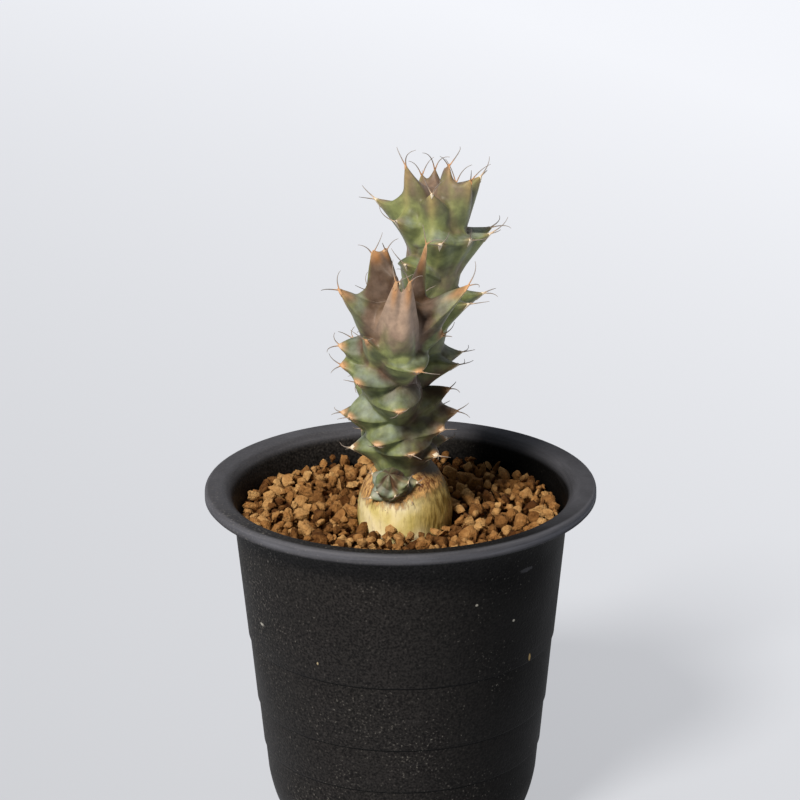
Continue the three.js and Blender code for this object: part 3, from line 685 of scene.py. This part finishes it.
def growTeeth(stem, length):
    # The placed teeth, then the spiral's on the side away from the front
    teeth = []
    for azimuth, root, long, lean, *sizes in stem["teeth"]:
        teeth.append((radians(azimuth), root, long, radians(lean), *(*sizes, 1, 1, 1)[:3]))
    placed = len(teeth)
    if "rise" not in stem:
        return teeth
    steps = int((length - spiral["belowTip"] - tooth["firstRoot"]) / stem["rise"]) + 1
    low, middle, top = stem["lean"]
    for k in range(steps):
        root = tooth["firstRoot"] + k * stem["rise"]
        azimuth = radians(stem["spiralStart"] + k * spiral["turn"])
        apart = [np.hypot(wrap(azimuth - t[0]) * tooth["pad"], root - t[1]) for t in teeth]
        room = [tooth["spacing"] * (spiral["clear"] if i < placed else 1) for i in range(len(teeth))]
        if cos(azimuth) < spiral["side"] and all(a >= r for a, r in zip(apart, room)):
            grown = min(1, root / (length - tooth["matureBelowTip"]))
            lean = low + (middle - low) * grown
            lean += (top - middle) * smoothstep(root, length - tooth["crownBelowTip"], length)
            teeth.append((azimuth, root, stem["length"], radians(lean), 1, 1, 1))
    return teeth


def coreRadius(stem, height, length):
    foot = smoothstep(height, 0, stem["footLength"])
    dome = np.clip((height - (length - stem["dome"])) / stem["dome"], 0, 1)
    return (stem["foot"] + (stem["core"] - stem["foot"]) * foot) * np.sqrt(1 - dome ** 2)


def tanTip(long, near, full):
    # The skin is tan for a short way from a tooth's tip, and further on a long tooth
    reach = np.interp(long, *tooth["tanFrom"]) * (1 - 0.5 * min(1, full - 1))
    return 1 - smoothstep(long * (1 - near ** tooth["hollow"]), 0.3 * reach, reach)


def toothField(teeth, azimuth, height, scale=1.0):
    # How far the skin stands out and the way it leans, with marks for the paint: upper side, crest,
    # keel line and tan tip.
    shape = np.broadcast(azimuth, height).shape
    stand, lean, upper, crest, keel, tan = (np.zeros(shape) for _ in range(6))
    for a, root, long, tilt, wide, full, low in teeth:
        grown = np.clip(long / tooth["mean"], *tooth["growLimits"]) ** tooth["grow"]
        side, up = wrap(azimuth - a) * tooth["pad"] * scale, height - root
        soft = tooth["round"] * min(1, full - 1) * scale
        u = (np.hypot(side, soft) - soft) / (tooth["halfWidth"] * wide * scale)
        v = np.abs(up) / (np.where(up > 0, tooth["above"] * full, tooth["below"] * grown * low) * scale)
        near = np.clip(1 - (1 - tooth["keel"]) * np.hypot(u, v) - tooth["keel"] * (u + v), 0, None)
        hollow = np.where(up > 0, tooth["hollow"] / full, tooth["hollow"])
        share = (long * near ** hollow) ** tooth["merge"]
        stand += share
        lean += share * tilt
        upper += share * np.clip(up / (tooth["upperReach"] * scale), -1, 1)
        crest = np.maximum(crest, near)
        line = np.exp(-(side / (tooth["keelLine"] * long * scale)) ** 2) * (up < 0.3)
        keel = np.maximum(keel, line * np.clip(near * 1.6, 0, 1) * np.clip(2 * np.cos(tilt), 0, 1))
        tan = np.maximum(tan, np.exp(-(side / (tooth["tanWidth"] * scale)) ** 2) * tanTip(long, near, full))
    total = stand + 1e-9
    return stand ** (1 / tooth["merge"]), lean / total, upper / total, crest, keel, tan


def swellOut(stem, azimuth, height):
    out = np.zeros(np.broadcast(azimuth, height).shape)
    for turn, middle, stand, width, reach in stem["swells"]:
        side = wrap(azimuth - radians(turn)) * tooth["pad"]
        out += stand * np.exp(-(side / width) ** 2 - ((height - middle) / reach) ** 2)
    return out


def skinPoint(stem, axis, teeth, azimuth, height, scale=1.0):
    stand, lean = toothField(teeth, azimuth, height, scale)[:2]
    radius = coreRadius(stem, height, axis["length"]) + stand * np.cos(lean)
    radius = radius + swellOut(stem, azimuth, height)
    return onAxis(axis, height + stand * np.sin(lean), radius, azimuth)


# The valleys, the upper faces of steep teeth, the creases and one side get painted shade through these
flushing = dict(facing=(0.3, 0.95), steep=(0.85, 1.3), onSwell=1.2, above=0.75, valleyLead=0.4,
                side=(0.3, 0.9), sideFade=0.6, creaseShade=0.8, most=1.3, rosyPale=1.5, sideDark=0.4)


def flushMarks(stem, azimuth, root, height, length, crest, upper, lean, swell):
    # Where the skin turns purple-brown, and how pale that is: towards the tip, in the valleys there and
    # above steep teeth, low on one side, and in creases. The valleys, the upper faces of steep teeth and
    # that side are partly painted shade, the creases painted shade; on that side the brown is also painted
    # darker as shade.
    f, (low, high) = flushing, stem["flushFrom"]
    allRound, front, pale = stem["youngFlush"]
    turn, reach, strength = stem["shaded"]
    young = smoothstep(height / length, low, high)
    rosy = young * front * smoothstep(np.cos(azimuth), *f["facing"])
    above = np.clip(upper, 0, 1) * smoothstep(lean, *f["steep"])
    hidden = (1 - np.clip(crest * 2, 0, 1)) * (1 - np.clip(swell / f["onSwell"], 0, 1)) + f["above"] * above
    valley = hidden * smoothstep(root / length, low - f["valleyLead"], low)
    aside = smoothstep(np.cos(azimuth - radians(turn)), *f["side"])
    aside = aside * (1 - smoothstep(root, reach * f["sideFade"], reach))
    creases = np.clip(-swell, 0, 1)
    flushAndShade = allRound * young + rosy + stem["valleyFlushAndShade"] * valley + strength * aside + f["creaseShade"] * creases
    return np.clip(flushAndShade, 0, f["most"]), np.clip(pale + f["rosyPale"] * rosy - f["sideDark"] * aside, 0, 1)


skinRelief = dict(lumps=0.16, lumpSize=5, wrinkleSize=0.9, sunk=0.3)


def buildSkin(stem, grid, scale=1.0, wrinkle=0.0):
    r, axis = skinRelief, stemAxis(stem["axis"])
    teeth = growTeeth(stem, axis["length"])
    azimuth = np.linspace(-pi, pi, grid["around"], endpoint=False)[None, :]
    height = np.linspace(0, axis["length"] - grid["top"], grid["along"])[:, None]
    stand, lean, upper, crest, keel, tan = toothField(teeth, azimuth, height, scale)
    swell = swellOut(stem, azimuth, height)
    radius = coreRadius(stem, height, axis["length"]) + stand * np.cos(lean) + swell
    reached = height + stand * np.sin(lean)
    points = onAxis(axis, reached, radius, azimuth)
    out = points - onAxis(axis, height, 0, azimuth)
    out /= np.linalg.norm(out, axis=-1)[..., None]
    for index in np.ndindex(points.shape[:2]):
        p = points[index]
        lump = r["lumps"] * ripple(p, r["lumpSize"], 2) * (1 - crest[index])
        points[index] = p + out[index] * (lump + wrinkle * ripple(p, r["wrinkleSize"], 3))
    low, high = onAxis(axis, [-r["sunk"], axis["length"]], 0, 0)
    skin = addMesh(stem["name"] + "_skin", *closedRings(points, low, high))
    flushAndShade, pale = flushMarks(stem, azimuth, height, reached, axis["length"], crest, upper, lean, swell)
    marks = dict(upper=upper, tan=tan * stem["tan"], keel=keel, flushAndShade=flushAndShade, pale=pale)
    for name, values in marks.items():
        ends = (values[0].mean(), values[-1].mean())  # for the two points that close the skin
        setAttribute(skin, name, np.concatenate([values.ravel(), ends]))
    return skin, axis, teeth


shield = dict(rows=10, across=7, above=0.25, taper=0.7, least=0.03, aboveWidth=0.75, reach=0.62,
              upturned=0.75, thick=0.09, lift=0.02, sunk=0.3, step=0.02)


def shieldPatch(stem, axis, teeth, one, scale=1.0):
    # A thin horny shield that runs from a tooth's tip down its keel, narrowing to a point.
    s, (azimuth, root, _, lean) = shield, one[:4]
    down = np.linspace(-s["above"], 1, s["rows"])[:, None]
    across = np.linspace(-1, 1, s["across"])[None, :]
    width = stem["shieldWidth"] * 0.5 * np.clip(1 - np.clip(down, 0, 1), s["least"], 1) ** s["taper"]
    width = np.where(down < 0, width * s["aboveWidth"], width)
    reach = stem["shieldLength"] * s["reach"] * (1 - s["upturned"] * max(0, sin(lean)))
    height = root - down * reach
    turn = azimuth + across * width / tooth["pad"]
    aside, rise = s["step"], s["step"] * tooth["pad"]
    here, right, left, upper, lower = (
        skinPoint(stem, axis, teeth, turn + a, height + b, scale)
        for a, b in ((0, 0), (aside, 0), (-aside, 0), (0, rise), (0, -rise)))
    normal = np.cross(right - left, upper - lower)
    normal /= np.linalg.norm(normal, axis=-1)[..., None] + 1e-9
    swell = s["thick"] * np.sqrt(np.clip(1 - across ** 2, 0, 1))[..., None] + s["lift"]
    return np.concatenate([here + normal * swell, (here - normal * s["sunk"])[:, ::-1]], 1)


def spinePair(stem, axis, one, random, spines, growth):
    # Two lines from the tip of a tooth: each leaves along the tooth, spreads, and hooks over.
    azimuth, root, long, lean = one[:4]
    core = coreRadius(stem, root, axis["length"])
    tip = onAxis(axis, root + long * sin(lean), core + long * cos(lean), azimuth)
    outward = onAxis(axis, root, 1, azimuth) - onAxis(axis, root, 0, azimuth)
    along = np.array([np.interp(root, axis["arc"], axis["along"][:, k]) for k in range(3)])
    ahead = outward * cos(lean) + along * sin(lean)
    side = np.cross(along, outward)
    roll = radians(random.uniform(-spines["roll"], spines["roll"]))
    side = side * cos(roll) + np.cross(ahead, side) * sin(roll)
    lift = np.cross(ahead, side)
    lift *= np.sign(lift @ (along + 0.01))
    lines = []
    for way in (-1, 1):
        length = random.uniform(*spines["length"]) * growth
        start, end, curl = (radians(random.uniform(*spines[key])) for key in ("start", "end", "curl"))
        place = tip - ahead * spines["sunk"]
        line = [place]
        for t in np.linspace(0, 1, spines["steps"]):
            spread = start + (end - start) * t ** 2
            bend = curl * t * t
            direction = ahead * cos(spread) + side * way * sin(spread)
            direction = direction * cos(bend) + lift * sin(bend)
            place = place + direction * (length + spines["sunk"]) / spines["steps"]
            line.append(place)
        lines.append(np.array(line))
    return lines


# A stem's spines and the bud's: each pair is rolled, spreads from start to end and curls, in degrees.
spines = dict(length=(3.6, 5.8), roll=35, start=(16, 36), end=(30, 95), curl=(-40, 75), sunk=0.7, steps=14,
              thick=0.16, sides=6)
tufts = dict(length=(1.3, 2.2), roll=35, start=(10, 50), end=(40, 110), curl=(-60, 60), sunk=0.4, steps=8,
             thick=0.12, sides=5)


def skinMaterial(name, base, deep, bloom, brown, tan):
    # Succulent skin: waxy and smooth, olive green under a thin grey bloom, purple-brown on young growth,
    # with painted shade in brown in valleys, creases and on one side
    material, add, place = newMaterial(name)
    marks = {key: add("Attribute", attribute_name=key).outputs["Fac"]
             for key in ("upper", "tan", "keel", "flushAndShade", "pale")}
    broad = add("TexNoise", {"Vector": place, "Scale": 260, "Detail": 5})
    cloud = add("TexNoise", {
        "Vector": place, "W": 3, "Scale": 150, "Detail": 4, "Roughness": 0.6}, noise_dimensions="4D")
    mottle = add("TexNoise", {"Vector": place, "Scale": 650, "Detail": 6})
    greens = add("MapRange", {"Value": broad, "From": (0.38, 0.62)})
    coat = add("Mix", {"Factor": greens, under: deep, over: base}, **rgba)
    bloomy = add("Math", {0: marks["upper"], 1: 0.16, 2: cloud}, **timesPlus)
    bloomed = add("MapRange", {"Value": bloomy, "From": (0.56, 0.78), "To": (0, 0.7)})
    # Purple-brown flush together with painted shade, made patchy
    patchy = add("Math", {0: broad, 1: -0.9, 2: marks["flushAndShade"]}, **timesPlus)
    flushAndShade = add("MapRange", {"Value": patchy, "From": (-0.58, 0.35), "To": (0, 0.92)}, **eased)
    clouded = add("MapRange", {"Value": cloud, "From": (0.3, 0.7), "To": (-0.25, 0.25)})
    paler = add("Math", {0: marks["pale"], 1: clouded}, operation="ADD", use_clamp=True)
    browns = add("Mix", {"Factor": paler, under: "#4a3024", over: brown}, **rgba)
    ridge = add("Math", {0: marks["keel"], 1: 0.5}, **times)
    tips = add("Math", {0: marks["tan"], 1: 0.85}, **times)
    horny = add("Mix", {"Factor": marks["flushAndShade"], under: tan, over: "#bf8549"}, **rgba, clamp_factor=True)
    for factor, layer in ((bloomed, bloom), (flushAndShade, browns), (ridge, "#a2a768"), (tips, horny)):
        coat = add("Mix", {"Factor": factor, under: coat, over: layer}, **rgba)
    shade = add("MapRange", {"Value": mottle, "From": (0.3, 0.7), "To": (0.78, 1.2)})
    varied = add("Mix", {"Factor": 1, under: coat, over: shade}, **rgba, blend_type="MULTIPLY")
    rough = add("MapRange", {"Value": cloud, "From": (0.3, 0.7), "To": (0.42, 0.6)})
    bump = add("Bump", {"Height": mottle, "Strength": 0.5, "Distance": 0.00012})
    shader = add("BsdfPrincipled", {
        "Base Color": varied, "Roughness": rough, "IOR": 1.42, "Specular IOR Level": 0.45,
        "Sheen Weight": 0.08, "Normal": bump})
    add("OutputMaterial", {"Surface": shader})
    return material


def hornMaterial():
    # Dry horn: pale tan to orange shields, and spines that darken to a grey-brown point
    material, add, place = newMaterial("dry_spine_horn")
    reach, cream = (add("Attribute", attribute_name=key).outputs["Fac"] for key in ("reach", "cream"))
    grain = add("TexNoise", {"Vector": place, "Scale": 1400, "Detail": 3})
    grey = add("MapRange", {"Value": reach, "From": (0.1, 0.45)}, **eased)
    coat = "#b9824e"
    for factor, colour in ((grain, "#dcaa76"), (cream, "#eaddc6"), (grey, "#968b82")):
        coat = add("Mix", {"Factor": factor, under: coat, over: colour}, **rgba)
    bump = add("Bump", {"Height": grain, "Strength": 0.5, "Distance": 0.0001})
    shader = add("BsdfPrincipled", {
        "Base Color": coat, "Roughness": 0.6, "Specular IOR Level": 0.35, "Normal": bump})
    add("OutputMaterial", {"Surface": shader})
    return material


def spineTree(material):
    # Geometry Nodes: every line becomes a tapering round spine.
    tree, given, ids = geometryTree("grow_spines", {
        "Thickness": ("NodeSocketFloat", 0.0002), "Sides": ("NodeSocketInt", 6)})
    curves = addNode(tree, "GeometryNodeMeshToCurve", {0: given})
    reach = addNode(tree, "GeometryNodeInputNamedAttribute", {"Name": "reach"}, data_type="FLOAT")
    taper = addNode(tree, "ShaderNodeMapRange", {"Value": reach, "To": (1, 0.3)})
    thick = addNode(tree, "ShaderNodeMath", {0: taper, 1: given.outputs["Thickness"]}, **times)
    sized = addNode(tree, "GeometryNodeSetCurveRadius", {0: curves, "Radius": thick})
    ring = addNode(tree, "GeometryNodeCurvePrimitiveCircle", {
        "Resolution": given.outputs["Sides"], "Radius": 1})
    radius = addNode(tree, "GeometryNodeInputRadius")
    tube = addNode(tree, "GeometryNodeCurveToMesh", {
        0: sized, "Profile Curve": ring, "Scale": radius, "Fill Caps": True})
    smooth = addNode(tree, "GeometryNodeSetShadeSmooth", {0: tube})
    finishTree(tree, smooth, material)
    return tree, ids


def buildSpines(name, lines, sizes, material):
    points, edges, reach, cream = [], [], [], []
    for line, pale in lines:
        first = len(points)
        points.extend(line)
        edges.extend((first + i, first + i + 1) for i in range(len(line) - 1))
        reach.extend(np.linspace(0, 1, len(line)))
        cream.extend([pale] * len(line))
    host = addMesh(name + "_lines", points, [], edges)
    setAttribute(host, "reach", reach)
    setAttribute(host, "cream", cream)
    tree, ids = spineTree(material)
    return bakeNodes(host, tree, {ids["Thickness"]: sizes["thick"] * mm, ids["Sides"]: sizes["sides"]}, name)


def buildShields(name, patches, material):
    points, faces, cream = [], [], []
    for grid, pale in patches:
        first = len(points)
        block, made = closedRings(grid, grid[0].mean(0), grid[-1].mean(0))
        points.extend(block)
        faces.extend(tuple(first + i for i in face) for face in made)
        cream.extend([pale] * len(block))
    obj = addMesh(name, points, faces)
    setAttribute(obj, "cream", cream)
    setAttribute(obj, "reach", np.zeros(len(points)))
    obj.data.materials.append(material)
    return obj


# Teeth low on a stem have shorter and paler spines; a pair is less pale than its shield
dressing = dict(growFrom=(0.4, 0.9), paleChance=0.25, paleLow=0.35, paleSpine=0.6)


def dressStem(stem, skin, grid, sizes, horn, scale=1.0, wrinkle=0.0):
    # A stem's skin, then a shield and a pair of spines for each tooth
    body, axis, teeth = buildSkin(stem, grid, scale, wrinkle)
    body.data.materials.append(skin)
    random = np.random.default_rng(stem["seed"])
    lines, patches = [], []
    for one in teeth:
        up = one[1] / axis["length"]
        growth = np.interp(up, dressing["growFrom"], stem["spineGrowth"])
        pale = random.uniform(0, dressing["paleChance"]) + dressing["paleLow"] * (1 - up)
        if one[3] < radians(stem["creamBelowLean"]):
            pale = 1.0
        patches.append((shieldPatch(stem, axis, teeth, one, scale), pale))
        for line in spinePair(stem, axis, one, random, sizes, growth):
            lines.append((line, pale * dressing["paleSpine"]))
    name = stem["name"]
    return (body, buildShields(name + "_shields", patches, horn),
            buildSpines(name + "_spines", lines, sizes, horn))


horn = hornMaterial()
stemSkin = skinMaterial("waxy_stem_skin", base="#828b58", deep="#576541", bloom="#8d9a92", brown="#b09684",
                        tan="#cf9f78")
frontPieces = dressStem(frontStem, stemSkin, skinGrid, spines, horn)
print("front stem grown")
backPieces = dressStem(backStem, stemSkin, skinGrid, spines, horn)
print("back stem grown")
budSkin = skinMaterial("wrinkled_bud_skin", base="#76865f", deep="#46573c", bloom="#a3ada4", brown="#6f5f56",
                       tan="#cfb4a0")
budPieces = dressStem(offset, budSkin, budGrid, tufts, horn, scale=0.42, wrinkle=0.25)
print("offset bud grown")


# Floor, and each piece attached to its body

def addFloor(colour, size=6.0):
    # Matt paper that glows by its own emission, more towards the back and the right: painted light that
    # fills in the shadows cast on it
    material, add, place = newMaterial("glowing_pale_paper")
    slope = add("VectorMath", {0: place, 1: studio["glowSlope"]}, operation="DOT_PRODUCT")
    glow = add("Math", {0: slope, 1: studio["glowMiddle"]}, operation="ADD")
    low, high = studio["glowLimits"]
    held = add("Clamp", {"Value": glow, "Min": low, "Max": high})
    shader = add("BsdfPrincipled", {
        "Base Color": colour, "Roughness": 0.9, "Specular IOR Level": 0.1, "Emission Color": studio["glow"],
        "Emission Strength": held})
    add("OutputMaterial", {"Surface": shader})
    half = size / 2
    corners = [(-half, -half, 0), (half, -half, 0), (half, half, 0), (-half, half, 0)]
    floor = addMesh("floor", corners, [(0, 1, 2, 3)], scale=1)
    floor.data.materials.append(material)
    return floor


addFloor(studio["floor"])
pieces = [(potShell, "pot_plastic", "pot"), (soilGrains, "akadama", "soil"), (soilBed, "akadama", "soil"),
          (caudexBark, "caudex_bark", "caudex")]
for parts, skin, node in ((frontPieces, "stem_skin", "stem_front"), (backPieces, "stem_skin", "stem_back"),
                          (budPieces, "bud_skin", "offset_bud")):
    pieces += [(part, finish, node) for part, finish in zip(parts, (skin, "spines", "spines"))]
for piece, finish, node in pieces:
    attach(piece, "root")
    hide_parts(node)
print("pieces:", len(pieces), "faces:", sum(len(p[0].data.polygons) for p in pieces))
